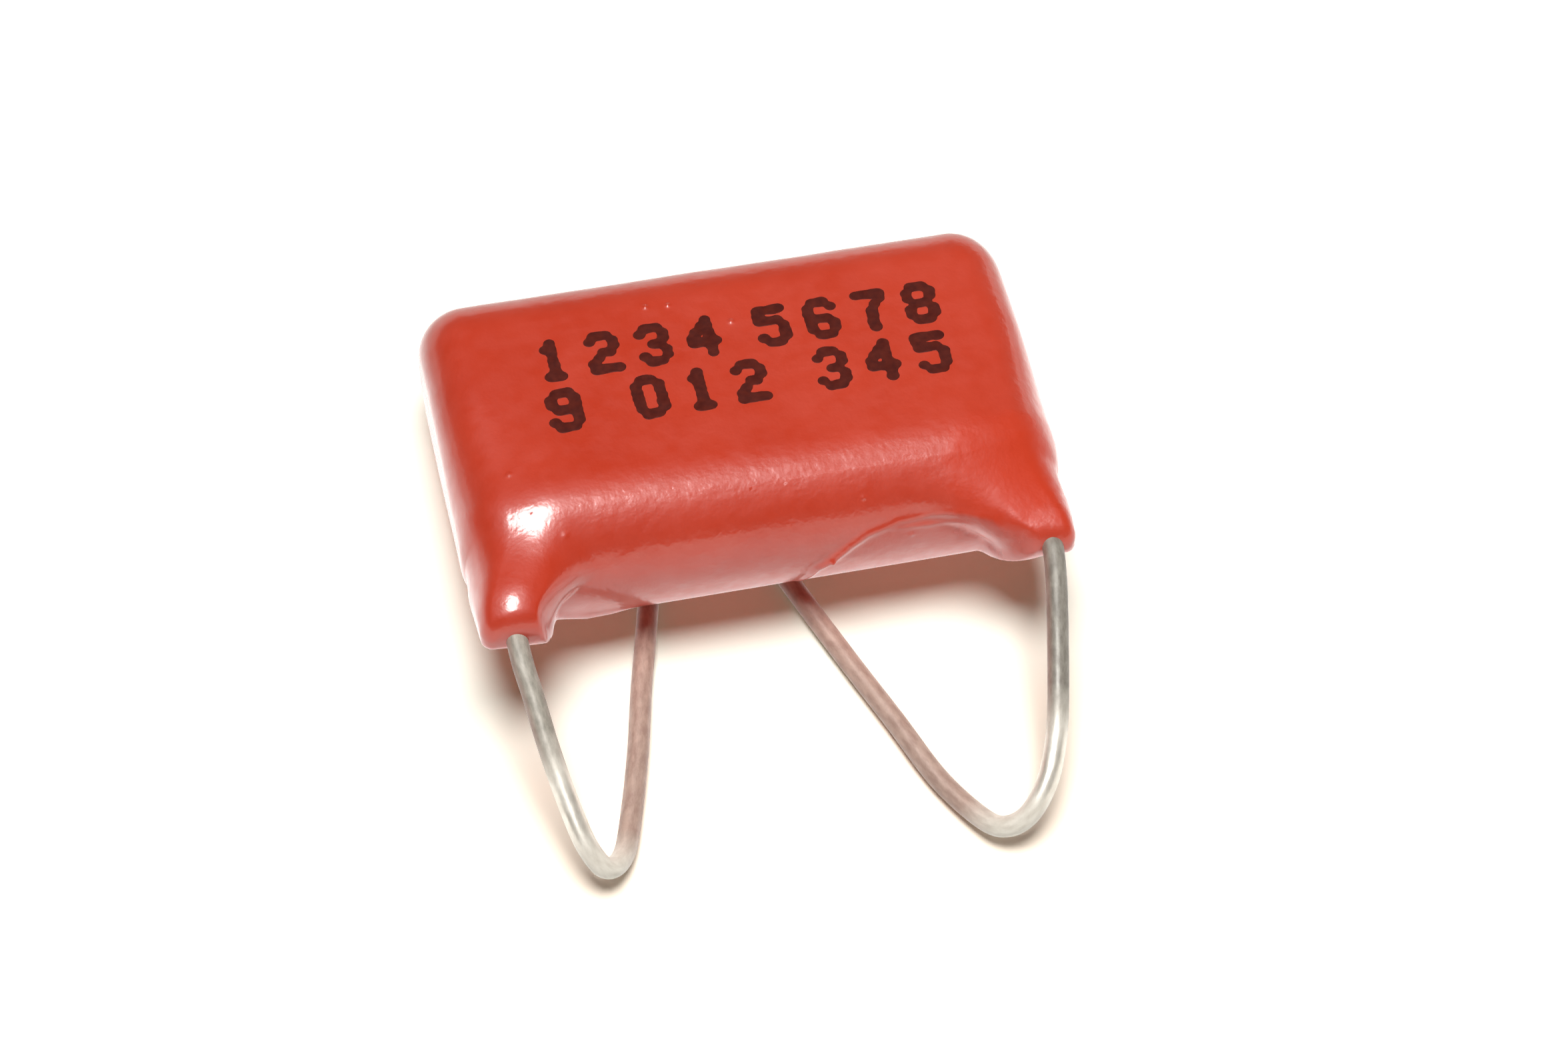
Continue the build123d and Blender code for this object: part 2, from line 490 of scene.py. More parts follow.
def run_height(x, s, line, width):
    """Height of a drawn run of resin over the places (x, s)."""
    best = np.full(len(x), 1e9)
    height = np.zeros(len(x))
    for (x0, s0, h0), (x1, s1, h1) in zip(line, line[1:]):
        dx, ds = x1 - x0, s1 - s0
        t = np.clip(((x - x0) * dx + (s - s0) * ds) / (dx * dx + ds * ds), 0, 1)
        gap = np.hypot(x - x0 - t * dx, s - s0 - t * ds)
        closer = gap < best
        best = np.where(closer, gap, best)
        height = np.where(closer, h0 + t * (h1 - h0), height)
    return height * np.exp(-((best / width) ** 2))


LAP = [(0.75, -1.5, 0.03), (1.2, -0.5, 0.09), (1.55, -0.22, 0.13), (2.1, 0.24, 0.08),
       (2.6, 0.55, 0.05), (3.5, 0.82, 0.035), (4.5, 0.9, 0.03), (5.2, 0.88, 0.035),
       (6.0, 0.76, 0.04), (6.4, 0.4, 0.02)]
SECOND_LAP = [(3.3, 0.62, 0.01), (4.2, 0.58, 0.03), (5.1, 0.56, 0.03), (5.6, 0.5, 0.0)]
BEAD = [(-6.0, -1.1, 0.03), (-5.3, -1.3, 0.11), (-4.6, -1.3, 0.09), (-3.8, -1.2, 0.0)]
RUNS = [(LAP, 0.12), (SECOND_LAP, 0.1), (BEAD, 0.3)]  # each with its width
FAR_RUNS = [
    ([(-7.2, 1.2, 0.0), (-6.4, 1.15, 0.06), (-5.4, 1.2, 0.045), (-4.5, 1.2, 0.0)], 0.24),
    ([(-4.7, 1.2, 0.0), (-3.7, 1.15, 0.05), (-2.0, 1.1, 0.09), (-0.9, 1.1, 0.075), (0.6, 1.2, 0.0)], 0.28),
    ([(2.0, 1.2, 0.0), (3.1, 1.15, 0.04), (4.3, 1.15, 0.04), (5.8, 1.2, 0.0)], 0.22),
]
# Each pimple is (x, s, height, width).
PIMPLES = [(-5.71, 1.97, 0.02, 0.09), (2.57, 1.68, 0.02, 0.08), (3.85, 0.3, 0.02, 0.07),
           (1.62, -0.22, 0.07, 0.08), (-2.04, 9.53, 0.045, 0.085), (-1.4, 9.47, 0.045, 0.08),
           (0.23, 8.47, 0.05, 0.09), (-6.9, 4.2, 0.03, 0.08)]


def slow_waves(x, s):
    """Between 0 and 1, with lumps some millimetres long."""
    waves = np.sin(1.3 * x + 0.7 * s + 0.4) + np.sin(0.8 * x - 1.1 * s + 2.0)
    waves += 0.6 * np.sin(2.3 * x + 1.9 * s + 1.0) + 0.5 * np.sin(3.1 * x - 2.0 * s)
    return 0.5 + waves / 6.2


print(len(RUNS) + len(FAR_RUNS), "runs and", len(PIMPLES), "pimples")

# %% [markdown]
# ## One field for the whole coat
# The field starts from the coated roll, a little lower in slow waves on the printed face. Each
# foot melts into it, and runs and pimples are taken off its value, which lifts the surface by
# as much. Moving a point against the field's slope brings it onto the surface.

# %% The whole coat as one field
WAVE_DEPTH = 0.02


def coat_field(points):
    x, v, w = points.T
    form = roll_form(x, v, w)
    s, far_s = girth(v, w), far_girth(v, w)
    form = form + WAVE_DEPTH * (1 - slow_waves(x, s)) * smooth_share(v + STRAIGHT + 1)
    for side in ("left", "right"):
        foot, fill = foot_form(side, x, v, w)
        form = melt(form, foot, fill)
    for line, width in RUNS:
        form = form - run_height(x, s, line, width)
    for line, width in FAR_RUNS:
        form = form - run_height(x, far_s, line, width)
    for px, ps, height, width in PIMPLES:
        form = form - height * np.exp(-((x - px) ** 2 + (s - ps) ** 2) / width**2)
    return np.maximum(form, np.abs(x) - half_width + 0.005)


def field_slope(field, points, step=0.002):
    """Direction in which a field grows, by small differences."""
    slope = np.empty_like(points)
    for axis in range(3):
        ahead, behind = points.copy(), points.copy()
        ahead[:, axis] += step
        behind[:, axis] -= step
        slope[:, axis] = (field(ahead) - field(behind)) / (2 * step)
    return slope


def settle(field, points, rounds=4):
    """Moves points straight onto the field's surface."""
    for _ in range(rounds):
        slope = field_slope(field, points)
        size = np.maximum((slope**2).sum(1), 0.05)
        points = points - slope * (np.clip(field(points), -0.2, 0.2) / size)[:, None]
    return points


print("field at the middle:", coat_field(np.zeros((1, 3))))

# %% [markdown]
# ## From the field to a mesh
# The field is read on a grid of small cells. Every cell that the surface passes through gets one
# vertex, and every grid edge that the surface crosses gets one quad between the four cells
# round it. The vertices are then evened out and settled exactly onto the field. This keeps the
# flat face flat and the quads even, which a remesh of the CAD solid would not.

# %% Skin a field with quads
CELL = 0.11


def skin(field, low, high, cell):
    """Vertices and quads on the field's zero surface."""
    steps = [np.arange(a, b + cell, cell) for a, b in zip(low, high)]
    grid = np.stack(np.meshgrid(*steps, indexing="ij"), -1)
    inside = (field(grid.reshape(-1, 3)) < 0).reshape(grid.shape[:3])
    corners = [inside[i:i - 1 or None, j:j - 1 or None, k:k - 1 or None]
               for i in (0, 1) for j in (0, 1) for k in (0, 1)]
    some, every = np.any(corners, 0), np.all(corners, 0)
    number = np.full(some.shape, -1)
    mixed = some & ~every
    number[mixed] = np.arange(mixed.sum())
    points = grid[:-1, :-1, :-1][mixed] + cell / 2
    quads = []
    for axis in range(3):
        here = np.moveaxis(inside, axis, 0)
        cells = np.moveaxis(number, axis, 0)
        turned = axis == 1
        crossing = here[:-1, 1:-1, 1:-1] != here[1:, 1:-1, 1:-1]
        leaving = here[:-1, 1:-1, 1:-1][crossing]
        four = [cells[:, :-1, :-1], cells[:, 1:, :-1], cells[:, 1:, 1:], cells[:, :-1, 1:]]
        four = np.stack([part[crossing] for part in four], 1)
        flip = leaving == turned
        four[flip] = four[flip][:, ::-1]
        quads.append(four)
    return points, np.concatenate(quads)


def even_out(field, points, quads, rounds):
    """Slides vertices towards their neighbours' middle, and back onto the surface."""
    ends = np.concatenate([quads[:, [i, (i + 1) % 4]] for i in range(4)])
    for _ in range(rounds):
        total = np.zeros_like(points)
        for axis in range(3):
            total[:, axis] = np.bincount(ends[:, 0], points[ends[:, 1], axis], len(points))
            total[:, axis] += np.bincount(ends[:, 1], points[ends[:, 0], axis], len(points))
        count = np.bincount(ends.ravel(), minlength=len(points))
        points = settle(field, 0.5 * points + 0.5 * total / count[:, None], 1)
    return points


coat_low = (-half_width - 0.2, foot_tip - 0.4, -half_thickness - 0.2)
coat_high = (half_width + 0.2, half_height + 0.2, half_thickness + 0.2)
points, quads = skin(coat_field, coat_low, coat_high, CELL)
points = settle(coat_field, points, 3)
points = even_out(coat_field, points, quads, 4)
print(len(points), "vertices,", len(quads), "quads; field left:", np.abs(coat_field(points)).max())

# %% [markdown]
# The laps are narrower than the cells, so the quads near them are divided twice and settled
# again. Only that part needs it, and the rest stays light. The normals come from the field
# itself, so even coarse quads shine like one smooth skin.

# %% Where the laps and pimples are


def near_detail(middle):
    x, v, w = middle.T
    s, far_s = girth(v, w), far_girth(v, w)
    close = np.zeros(len(x), bool)
    for runs, distance, margin, on_edge in ((RUNS, s, 1.6, v < -STRAIGHT),
                                            (FAR_RUNS, far_s, 1.3, v > STRAIGHT)):
        for line, width in runs:
            level = [(a, b, 1.0) for a, b, _ in line]
            close |= (run_height(x, distance, level, width * margin) > 0.2) & on_edge
    for px, ps, _, width in PIMPLES:
        close |= (x - px) ** 2 + (s - ps) ** 2 < (2.5 * width) ** 2
    return close


print("near a run or pimple:", near_detail(points).sum(), "vertices")

# %% The coat object


def mesh_piece(name, points, faces):
    """A smooth object on the root body, from places in metres."""
    mesh = bpy.data.meshes.new(name)
    mesh.from_pydata(points.tolist(), [], faces)
    mesh.shade_smooth()
    piece = bpy.data.objects.new(name, mesh)
    bpy.context.scene.collection.objects.link(piece)
    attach(piece, "root")
    return piece


coat = mesh_piece("dipped_coat", to_world(points), quads.tolist())
with reshaping(coat.data) as shaping:
    for _ in range(2):
        shaping.edges.ensure_lookup_table()
        middles = [(edge.verts[0].co + edge.verts[1].co) / 2 for edge in shaping.edges]
        close = near_detail(to_body(np.array(middles) / MM))
        fine = [edge for edge, pick in zip(shaping.edges, close) if pick]
        bmesh.ops.subdivide_edges(shaping, edges=fine, cuts=1, use_grid_fill=True)
    bmesh.ops.triangulate(shaping, faces=[face for face in shaping.faces if len(face.verts) > 4])
places = np.empty(len(coat.data.vertices) * 3)
coat.data.vertices.foreach_get("co", places)
local = settle(coat_field, to_body(places.reshape(-1, 3) / MM), 3)
coat.data.vertices.foreach_set("co", to_world(local).ravel())
coat.data.shade_smooth()
normals = field_slope(coat_field, local, 0.01)
normals /= np.linalg.norm(normals, axis=1)[:, None]
coat.data.normals_split_custom_set_from_vertices((normals @ body_axes).tolist())
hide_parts("epoxy_coat")
print("coat:", len(coat.data.polygons), "faces")

# %% [markdown]
# ## Red epoxy
# The coat is thick, opaque and glossy. Its red is even, with slightly browner and lighter clouds
# where the resin is thinner or thicker, and it is a little paler towards the right.

# %% Colour of the red epoxy
DEEP_RED, PALE_RED = (0.605, 0.038, 0.008), (0.665, 0.054, 0.020)

red_epoxy, tree, shader = new_finish("red_dipped_epoxy")
place = place_on(tree)
sideways = along_axis(tree, place, "X")
clouds = remap(tree, noise(tree, place, 0.35, 3.0, 0.55), 0.35, 0.65, 0.0, 0.7)
paler_end = remap(tree, sideways, -2 * MM, 8 * MM, 0.0, 0.9)
paler = calculate(tree, "ADD", clouds, paler_end, use_clamp=True)
tree.links.new(blend_colour(tree, paler, DEEP_RED, PALE_RED), shader.inputs["Base Color"])
coat.data.materials.append(red_epoxy)
print("red epoxy on", coat.name)

# %% [markdown]
# Under the clear top of the resin the pigment scatters a wide, dim gloss, so the shader has a
# rough base below a smooth coat. Resin drained over the right foot last and set there with a
# dull patch, whose ragged edge fades out over a millimetre or two.

# %% Gloss of the red epoxy
DULL_MIDDLE = (6.5, -4.9, 1.7)
DULL_FROM, DULL_TO, DULL_RAGGED = 0.7 * MM, 2.6 * MM, 0.6 * MM

ragged = remap(tree, noise(tree, place, 0.9, 3.0), 0.3, 0.7, -DULL_RAGGED, DULL_RAGGED)
dull_middle = tuple(to_world([DULL_MIDDLE])[0])
to_dull = add(tree, "ShaderNodeVectorMath", {0: place, 1: dull_middle}, operation="DISTANCE")
to_dull = calculate(tree, "ADD", to_dull.outputs["Value"], ragged)
dull_share = remap(tree, to_dull, DULL_FROM, DULL_TO, 1.0, 0.0, interpolation_type="SMOOTHERSTEP")
base_gloss = remap(tree, noise(tree, place, 1.6, 2.0), 0.35, 0.65, 0.42, 0.56)
skin_gloss = remap(tree, noise(tree, place, 2.2, 2.0), 0.3, 0.7, 0.155, 0.21)
skin_gloss = calculate(tree, "ADD", skin_gloss, remap(tree, dull_share, 0.0, 1.0, 0.0, 0.3))
for socket, amount in (("Roughness", base_gloss),
                       ("Coat Roughness", skin_gloss),
                       ("Coat Weight", remap(tree, dull_share, 0.0, 1.0, 1.0, 0.12)),
                       ("Specular IOR Level", remap(tree, dull_share, 0.0, 1.0, 0.5, 0.2))):
    tree.links.new(amount, shader.inputs[socket])
shader.inputs["Coat Roughness"].default_value = 0.17  # for tools that read no nodes here
shader.inputs["IOR"].default_value = 1.55
shader.inputs["Coat IOR"].default_value = 1.5
print("gloss set, dull round", [round(side / MM, 1) for side in dull_middle])

# %% [markdown]
# The skin has an orange peel of very small lumps, seen only where a lamp glances off it. It is
# smoother on the left shoulder, where the resin was thickest and had time to flow out.

# %% Orange peel
PEEL_DEPTH, FINE_PEEL_DEPTH = 0.0145, 0.004

smoother_end = remap(tree, sideways, -5.6 * MM, -4.7 * MM, 0.35, 1.0)
peel = bump(tree, noise(tree, place, 3.4, 2.0, 0.45), PEEL_DEPTH, smoother_end)
peel = bump(tree, noise(tree, place, 9.0, 1.0, 0.5), FINE_PEEL_DEPTH, below=peel)
tree.links.new(peel, shader.inputs["Normal"])
tree.links.new(peel, shader.inputs["Coat Normal"])
print("orange peel", PEEL_DEPTH, "mm deep")

# %% [markdown]
# ## Ink on the face
# Such parts are marked by an ink-jet head that lays rows of dots, five across and seven high
# for each figure. The dots run together and leave knotted strokes. Plain figures in counting
# order stand here, in two rows as such a head prints them. Each figure is a sum of small round
# fields, one for each dot, cut where the ink ends, and laid a few micrometres over the resin.

# %% Dots of each figure
FIGURES = {
    "1": "..#.. .##.. ..#.. ..#.. ..#.. ..#.. .###.",
    "2": ".###. #...# ....# ..##. .#... #.... #####",
    "3": ".###. #...# ....# ..##. ....# #...# .###.",
    "4": "...#. ..##. .#.#. #..#. ##### ...#. ...#.",
    "5": "##### #.... ####. ....# ....# #...# .###.",
    "6": ".###. #...# #.... ####. #...# #...# .###.",
    "7": "##### ....# ...#. ..#.. ..#.. ..#.. ..#..",
    "8": ".###. #...# #...# .###. #...# #...# .###.",
    "9": ".###. #...# #...# .#### ....# #...# .###.",
    "0": ".###. #...# #...# #...# #...# #...# .###.",
}
DOT_X, DOT_V, DOT_RADIUS = 0.165, 0.215, 0.17
DOT_STRAY, DOT_UNEVEN = 0.012, 0.08
jitter = np.random.default_rng(7)


def figure_dots(figure, x, v):
    """Centres and radii of the dots of a figure whose top left dot is at (x, v)."""
    dots = [(x + column * DOT_X, v - row * DOT_V)
            for row, line in enumerate(FIGURES[figure].split())
            for column, mark in enumerate(line) if mark == "#"]
    dots = np.array(dots) + jitter.normal(0, DOT_STRAY, (len(dots), 2))
    sizes = jitter.uniform(1 - DOT_UNEVEN, 1 + DOT_UNEVEN, len(dots))
    return np.column_stack([dots, DOT_RADIUS * sizes])


FIGURE_PITCH = 1.44
UPPER_ROW, LOWER_ROW = 2.02, 0.08  # places of their top dots
GROUPS = [("1234", -5.3, UPPER_ROW), ("5678", 1.0, UPPER_ROW),
          ("9", -5.3, LOWER_ROW), ("012", -2.9, LOWER_ROW), ("345", 2.3, LOWER_ROW)]
all_dots = [figure_dots(figure, start + i * FIGURE_PITCH, top)
            for text, start, top in GROUPS for i, figure in enumerate(text)]
print(len(all_dots), "figures,", sum(len(dots) for dots in all_dots), "dots")

# %% [markdown]
# Each figure is cut out of a fine sheet of squares. A square wholly in the ink is kept, and one
# that the ink's edge crosses is trimmed along that edge, which is the old method of marching
# squares.

# %% Cut the figures out of a sheet
SQUARE, SHEET_MARGIN = 0.035, 0.3
DOT_FALL = 2.2  # how fast the ink's field falls off from the middle of a dot


def ink_amount(dots, spots):
    """Above zero in the ink."""
    gap = ((spots[:, None, :] - dots[None, :, :2]) ** 2).sum(-1)
    return np.exp(-DOT_FALL * gap / dots[None, :, 2] ** 2).sum(1) - np.exp(-DOT_FALL)


def cut_figure(dots):
    """Places (x, v) and polygons of one figure."""
    low, high = dots[:, :2].min(0) - SHEET_MARGIN, dots[:, :2].max(0) + SHEET_MARGIN
    xs, vs = np.arange(low[0], high[0], SQUARE), np.arange(low[1], high[1], SQUARE)
    spots = np.stack(np.meshgrid(xs, vs, indexing="ij"), -1)
    amount = ink_amount(dots, spots.reshape(-1, 2)).reshape(spots.shape[:2])
    places, polygons, known = [], [], {}

    def corner(key, place):
        if key not in known:
            known[key] = len(places)
            places.append(place)
        return known[key]

    for i in range(len(xs) - 1):
        for j in range(len(vs) - 1):
            ring = [(i, j), (i + 1, j), (i + 1, j + 1), (i, j + 1)]
            polygon = []
            for here, after in zip(ring, ring[1:] + ring[:1]):
                a, b = amount[here], amount[after]
                if a > 0:
                    polygon.append(corner(here, spots[here]))
                if (a > 0) != (b > 0):
                    cut = spots[here] + (spots[after] - spots[here]) * a / (a - b)
                    polygon.append(corner(tuple(sorted((here, after))), cut))
            if len(polygon) > 2:
                polygons.append(polygon)
    return np.array(places), polygons


figures = [cut_figure(dots) for dots in all_dots]
print("cut", len(figures), "figures,", sum(len(polygons) for _, polygons in figures), "faces")

# %% [markdown]
# The figures are laid a few micrometres above the place where the coat's field says that the
# face is. A second sheet just below closes them to thin flat solids.

# %% Lay the figures on the coat
INK_RISE, INK_THICKNESS = 0.004, 0.008


def face_height(flat):
    """Outward place of the coat's printed face under flat places (x, v)."""
    w = np.full(len(flat), half_thickness)
    for _ in range(4):
        w = w - coat_field(np.column_stack([flat, w]))
    return w


ink_places, ink_faces = [], []
for flat, polygons in figures:
    first = sum(map(len, ink_places))
    ink_places.append(flat)
    ink_faces += [[first + index for index in polygon] for polygon in polygons]
flat = np.concatenate(ink_places)
top = np.column_stack([flat, face_height(flat) + INK_RISE])
ink = mesh_piece("printed_figures", to_world(top), ink_faces)
with reshaping(ink.data) as shaping:
    sheet = bmesh.ops.extrude_face_region(shaping, geom=shaping.faces[:])
    sunk = [item for item in sheet["geom"] if isinstance(item, bmesh.types.BMVert)]
    bmesh.ops.translate(shaping, verts=sunk, vec=Vector(outward) * (-INK_THICKNESS * MM))
    bmesh.ops.recalc_face_normals(shaping, faces=shaping.faces[:])
print("ink:", len(ink.data.polygons), "faces")

# %% [markdown]
# The ink is a thin dark brown that lets some of the red through where it lies thinner. It is
# matter than the resin, and unevenly so.

# %% Ink finish
dark_ink, tree, shader = new_finish("dark_jet_ink")
place = place_on(tree)
thin = remap(tree, noise(tree, place, 5.0, 3.0, 0.6), 0.35, 0.7, 0.0, 1.0)
ink_colour = blend_colour(tree, thin, (0.075, 0.010, 0.007), (0.12, 0.017, 0.010))
tree.links.new(ink_colour, shader.inputs["Base Color"])
ink_gloss = remap(tree, noise(tree, place, 3.0, 2.0), 0.3, 0.7, 0.4, 0.6)
tree.links.new(ink_gloss, shader.inputs["Roughness"])
shader.inputs["Specular IOR Level"].default_value = 0.2
ink.data.materials.append(dark_ink)
print("ink finish on", ink.name)

# %% [markdown]
# ## Tinned leads
# Each lead is one soft wire, bent by hand: out of its foot, down to the bench, round a hairpin
# and back under the body. Hand bends have no fixed radius, so the wire follows a smooth curve
# through a few chosen places along the CAD lead. The wire comes out of the foot where the CAD
# lead does, and never sinks into the bench.

# %% Smooth routes for the two leads


def smooth_route(places, step):
    """Places every step along a smooth curve through the given ones."""
    places = np.asarray(places, float)
    ends = [2 * places[0] - places[1], *places, 2 * places[-1] - places[-2]]
    fine = []
    for a, b, c, d in zip(ends, ends[1:], ends[2:], ends[3:]):
        t = np.linspace(0, 1, 40, endpoint=False)[:, None]
        fine.append(0.5 * (2 * b + (c - a) * t + (2 * a - 5 * b + 4 * c - d) * t**2
                           + (3 * b - a - 3 * c + d) * t**3))
    fine = np.concatenate([*fine, ends[-2:-1]])
    for _ in range(30):
        fine[1:-1] = 0.5 * fine[1:-1] + 0.25 * (fine[:-2] + fine[2:])
    length = np.concatenate([[0], np.cumsum(np.linalg.norm(np.diff(fine, axis=0), axis=1))])
    fine[:, 2] = np.maximum(fine[:, 2], BENCH)
    along = np.linspace(0, length[-1], int(length[-1] / step) + 1)
    return np.column_stack([np.interp(along, length, fine[:, axis]) for axis in range(3)]), along


def lead_places(side, bends):
    """Straight down the body and out of the foot, then the hand bends, in world millimetres."""
    wire_x, wire_w = wires[side]
    weld_top = to_body(node_points("lead_" + side))[:, 1].max()
    straight = [(wire_x, v, wire_w) for v in (weld_top, 1.0, -3.0, foot_tip + 0.3, foot_tip - 0.12)]
    return [*(to_world(straight) / MM), *bends]


BENCH = cad_low.z / MM + WIRE_RADIUS
left_bends = [(-7.46, -3.31, 3.69), (-7.34, -4.07, 3.33), (-7.16, -5.43, 2.69), (-6.87, -6.9, 1.95),
              (-6.59, -7.88, 1.42), (-6.16, -8.3, 0.88), (-5.58, -7.7, 0.4), (-5.08, -6.27, BENCH),
              (-4.56, -4.46, BENCH), (-4.11, -2.59, BENCH), (-3.74, -1.22, BENCH), (-3.2, 0.84, BENCH)]
right_bends = [(7.34, -3.56, 3.6), (7.03, -5.11, 2.96), (6.67, -6.69, 2.38), (6.42, -7.5, 2.05),
               (5.98, -8.44, 1.65), (5.35, -9.05, 1.1), (4.68, -9.05, 0.68), (4.13, -8.42, 0.43),
               (3.33, -6.92, BENCH), (2.62, -4.95, BENCH), (1.9, -3.05, BENCH),
               (1.17, -1.05, BENCH), (0.5, 0.84, BENCH)]
print(len(left_bends), "and", len(right_bends), "places outside the feet; on the bench at", round(BENCH, 3))

# %% [markdown]
# A tube of rings is run along each route. Each point of the tube also stores where it lies on
# the unrolled wire: round it in millimetres, and along it from the hairpin, so that the finish
# can follow the wire round its bends.

# %% Tube of rings along a route
RING = 28
RING_STEP = 0.07
END_ROUNDING = 0.05


def wire_piece(name, node, places):
    route, along = smooth_route(places, RING_STEP)
    tangent = np.gradient(route, axis=0)
    tangent /= np.linalg.norm(tangent, axis=1)[:, None]
    side = np.cross(tangent[0], (0, 0, 1.0))
    sides = []
    for direction in tangent:
        side = side - direction * (side @ direction)
        side /= np.linalg.norm(side)
        sides.append(side)
    sides = np.array(sides)
    lifts = np.cross(tangent, sides)
    turn = np.linspace(0, 2 * pi, RING, endpoint=False)[None, :, None]
    ring = np.cos(turn) * sides[:, None] + np.sin(turn) * lifts[:, None]
    radius = np.full(len(route), WIRE_RADIUS)
    radius[[0, -1]] -= END_ROUNDING
    tube = route[:, None] + ring * radius[:, None, None]
    rows = np.arange(len(route) * RING).reshape(len(route), RING)
    after = np.roll(rows, -1, axis=1)
    walls = np.stack([rows[:-1], after[:-1], after[1:], rows[1:]], -1).reshape(-1, 4)
    faces = [*walls.tolist(), rows[0][::-1].tolist(), rows[-1].tolist()]
    piece = mesh_piece(name, tube.reshape(-1, 3) * MM, faces)
    with reshaping(piece.data) as shaping:
        bmesh.ops.recalc_face_normals(shaping, faces=shaping.faces[:])
        for wall_or_end in shaping.faces:
            wall_or_end.smooth = len(wall_or_end.verts) == 4
    hairpin = along[route[:, 1].argmin()]
    round_it = (np.cos(turn[0, :, 0]) * WIRE_RADIUS, np.sin(turn[0, :, 0]) * WIRE_RADIUS)
    unrolled = np.stack(np.broadcast_arrays(*round_it, (along - hairpin)[:, None]), -1)
    stored = piece.data.attributes.new("along_wire", "FLOAT_VECTOR", "POINT")
    stored.data.foreach_set("vector", unrolled.ravel())
    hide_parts(node)
    print(name, "is", round(along[-1], 2), "mm long, hairpin at", round(hairpin, 2))
    return piece


left_wire = wire_piece("tinned_lead_left", "lead_left", lead_places("left", left_bends))
right_wire = wire_piece("tinned_lead_right", "lead_right", lead_places("right", right_bends))

# %% [markdown]
# ## Tin
# Tin dipped on a soft wire is bright but not polished. It is drawn through a wiper, which leaves
# fine streaks along the wire, and handling leaves dull and darker patches. The streaks are noise
# over the unrolled wire, stretched in its direction. Its tint changes on the way: grey by the
# foot, a darker grey on the right lead as painted shade, and a brownish flank that is a painted
# reflection of the red coat; bright where the bending fingers rubbed it bare; a cream-white
# painted highlight at the hairpin; and painted shade with a painted reflection of the red coat on
# the stretch back under the body.

# %% Streaks and stretches of the tin
tin, tree, shader = new_finish("streaked_tin")
unrolled = add(tree, "ShaderNodeAttribute", attribute_name="along_wire").outputs["Vector"]
from_hairpin = along_axis(tree, unrolled, "Z")
drawn = add(tree, "ShaderNodeMapping", {"Vector": unrolled, "Scale": (1.0, 1.0, 0.4)}).outputs[0]
streaks = noise(tree, drawn, 6.0, 4.0, 0.6, millimetre=1.0)
patches = noise(tree, unrolled, 2.2, 3.0, millimetre=1.0)
streak_share = remap(tree, streaks, 0.35, 0.65, 0.0, 1.0)
# The right lead is tinted a darker grey than the left: painted shade.
on_right = remap(tree, along_axis(tree, place_on(tree), "X"), -1 * MM, 1 * MM, 0.0, 1.0)
# One flank of each wire is tinted brownish red: a painted reflection of the red coat.
red_reflection_share = remap(tree, along_axis(tree, unrolled, "X"), 0.16, 0.26, 0.0, 0.9)
# The last millimetres before the hairpin, and the hairpin itself, turn cream-white: a painted highlight.
hairpin_highlight_share = remap(tree, from_hairpin, -4.2, -2.8, 0.0, 1.0)
# The stretch back under the body is tinted pinkish brown: painted shade with a painted reflection of the
# red coat.
returning = remap(tree, from_hairpin, 0.5, 1.7, 0.0, 1.0)
rubbing = remap(tree, from_hairpin, -3.4, -2.4, 0.0, 1.0)
rubbed = remap(tree, from_hairpin, -1.4, -0.6, 1.0, 0.0)
bare = calculate(tree, "MINIMUM", rubbing, rubbed)
print("stretches of tin set out from the hairpin")

# %% Tin finish
LIGHT_AND_DARK = {
    "left_grey": ((0.56, 0.525, 0.46), (0.34, 0.315, 0.27)),
    # darker grey for the right lead: painted shade
    "right_grey_painted_shade": ((0.385, 0.36, 0.315), (0.235, 0.215, 0.185)),
    # brownish red on one flank: painted reflection of the red coat
    "flank": ((0.44, 0.31, 0.26), (0.33, 0.22, 0.18)),
    # cream-white at the hairpin: painted highlight
    "creamy_painted_highlight": ((0.96, 0.92, 0.83), (0.8, 0.75, 0.66)),
    # pinkish brown under the body: painted shade and painted reflection of the red coat
    "painted_shade_red_reflection": ((0.60, 0.44, 0.37), (0.44, 0.30, 0.25)),
}
tint = {name: blend_colour(tree, streak_share, *pair) for name, pair in LIGHT_AND_DARK.items()}
tone = blend_colour(tree, on_right, tint["left_grey"], tint["right_grey_painted_shade"])
tone = blend_colour(tree, red_reflection_share, tone, tint["flank"])
tone = blend_colour(tree, hairpin_highlight_share, tone, tint["creamy_painted_highlight"])
tone = blend_colour(tree, returning, tone, tint["painted_shade_red_reflection"])
tree.links.new(tone, shader.inputs["Base Color"])
tree.links.new(remap(tree, bare, 0.0, 1.0, 0.08, 0.5), shader.inputs["Metallic"])
tin_gloss = remap(tree, patches, 0.35, 0.65, 0.4, 0.54)
tin_gloss = calculate(tree, "SUBTRACT", tin_gloss, remap(tree, bare, 0.0, 1.0, 0.0, 0.07))
tree.links.new(tin_gloss, shader.inputs["Roughness"])
tree.links.new(bump(tree, streaks, 0.008), shader.inputs["Normal"])
for wire in (left_wire, right_wire):
    wire.data.materials.append(tin)
print("tin on both leads")

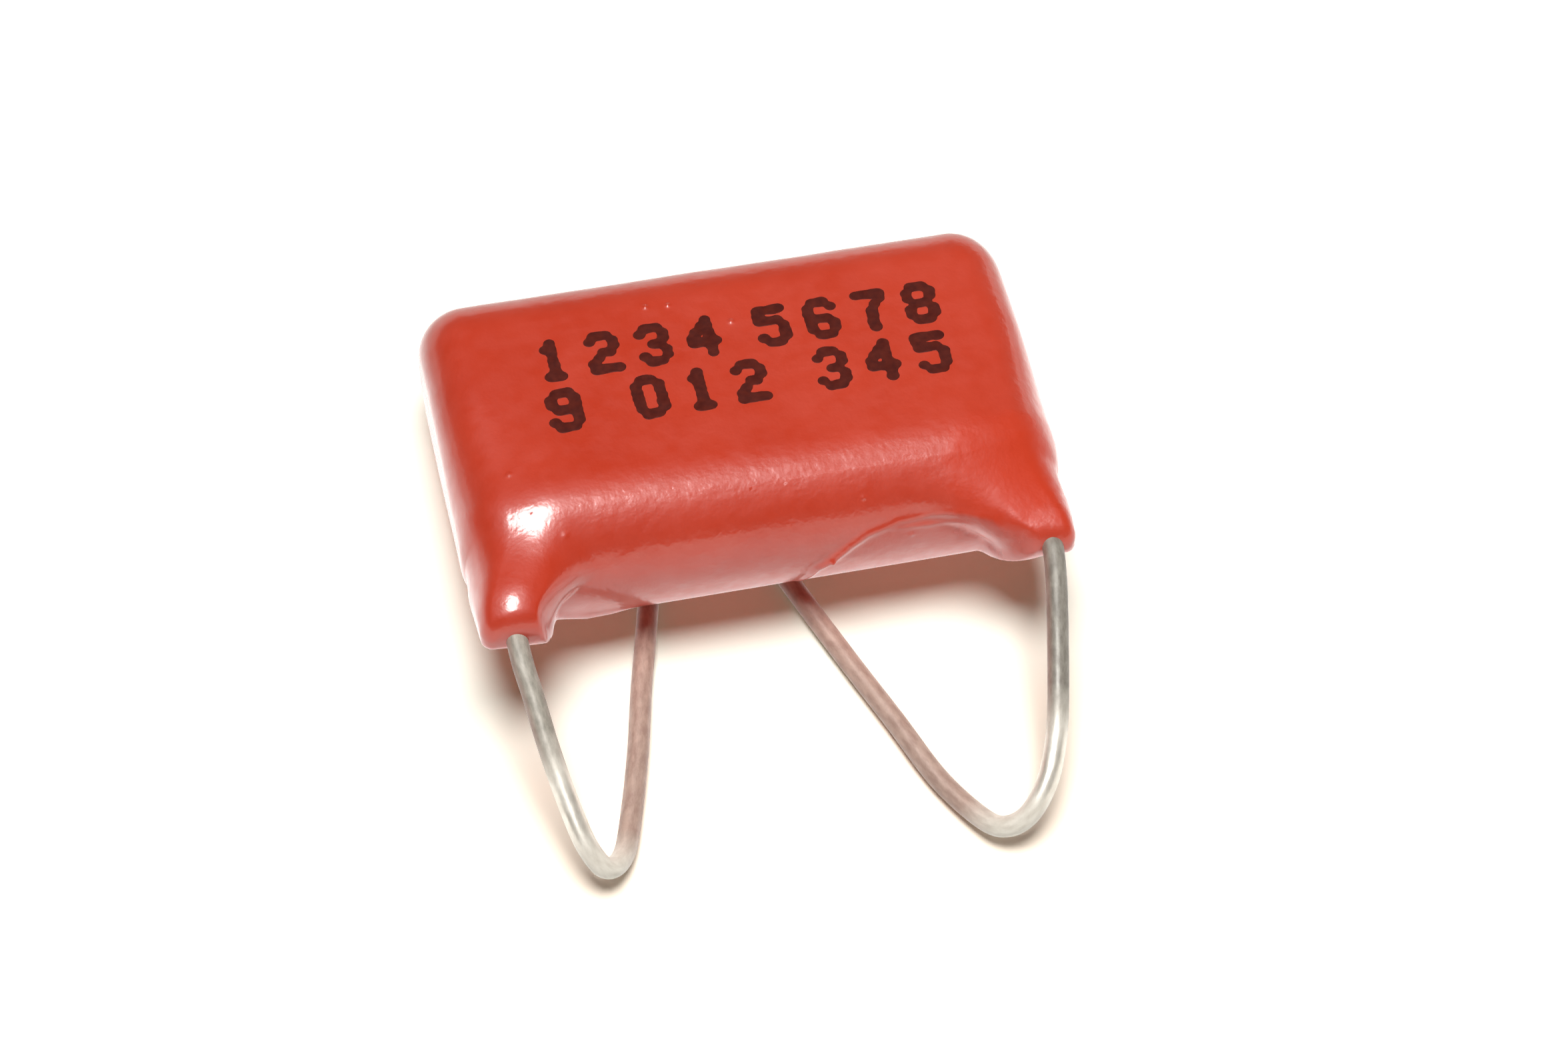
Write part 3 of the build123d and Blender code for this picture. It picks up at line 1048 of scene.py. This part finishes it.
# %% [markdown]
# ## The hidden pieces
# The roll, its clear wrap and the zinc on its ends stay inside the coat, as they do in the real
# part, and their CAD solids are kept as they are. Each still gets its own finish, for anyone who
# takes the coat off. First the roll: lead-grey metallized film with its turns showing.

# %% Finish of the roll


def dress(node, material):
    mesh = frame["nodes"][node].data
    mesh.materials.clear()
    mesh.materials.append(material)
    print(node, "wears", material.name)


rolled_film, tree, shader = new_finish("metallized_film_turns")
winding = {"Vector": place_on(tree), "Scale": 4.0 / MM, "Distortion": 1.5, "Detail": 2.0}
turns = add(tree, "ShaderNodeTexWave", winding, bands_direction="Z").outputs["Fac"]
film_grey = blend_colour(tree, turns, (0.42, 0.43, 0.45), (0.60, 0.61, 0.63))
tree.links.new(film_grey, shader.inputs["Base Color"])
tree.links.new(remap(tree, turns, 0, 1, 0.22, 0.34), shader.inputs["Roughness"])
shader.inputs["Metallic"].default_value = 0.7
dress("film_winding", rolled_film)

# %% [markdown]
# The clear film round the roll is slightly hazy, and a little yellow where it lies double.

# %% Finish of the clear wrap
clear_wrap, tree, shader = new_finish("clear_wrap")
haze = noise(tree, place_on(tree), 0.8, 3.0)
wrap_colour = blend_colour(tree, haze, (0.82, 0.82, 0.78), (0.74, 0.73, 0.68))
tree.links.new(wrap_colour, shader.inputs["Base Color"])
tree.links.new(remap(tree, haze, 0.3, 0.7, 0.12, 0.28), shader.inputs["Roughness"])
shader.inputs["Transmission Weight"].default_value = 0.6
dress("cover_film", clear_wrap)

# %% [markdown]
# Sprayed zinc lands as small frozen drops, so it is rough and matt, with a coarse grain.

# %% Finish of the sprayed zinc
sprayed_zinc, tree, shader = new_finish("sprayed_zinc")
grains = noise(tree, place_on(tree), 9.0, 4.0, 0.7)
zinc_grey = blend_colour(tree, grains, (0.34, 0.34, 0.36), (0.55, 0.55, 0.56))
tree.links.new(zinc_grey, shader.inputs["Base Color"])
shader.inputs["Metallic"].default_value = 0.8
shader.inputs["Roughness"].default_value = 0.62
tree.links.new(bump(tree, grains, 0.03), shader.inputs["Normal"])
dress("end_spray_left", sprayed_zinc)
dress("end_spray_right", sprayed_zinc)
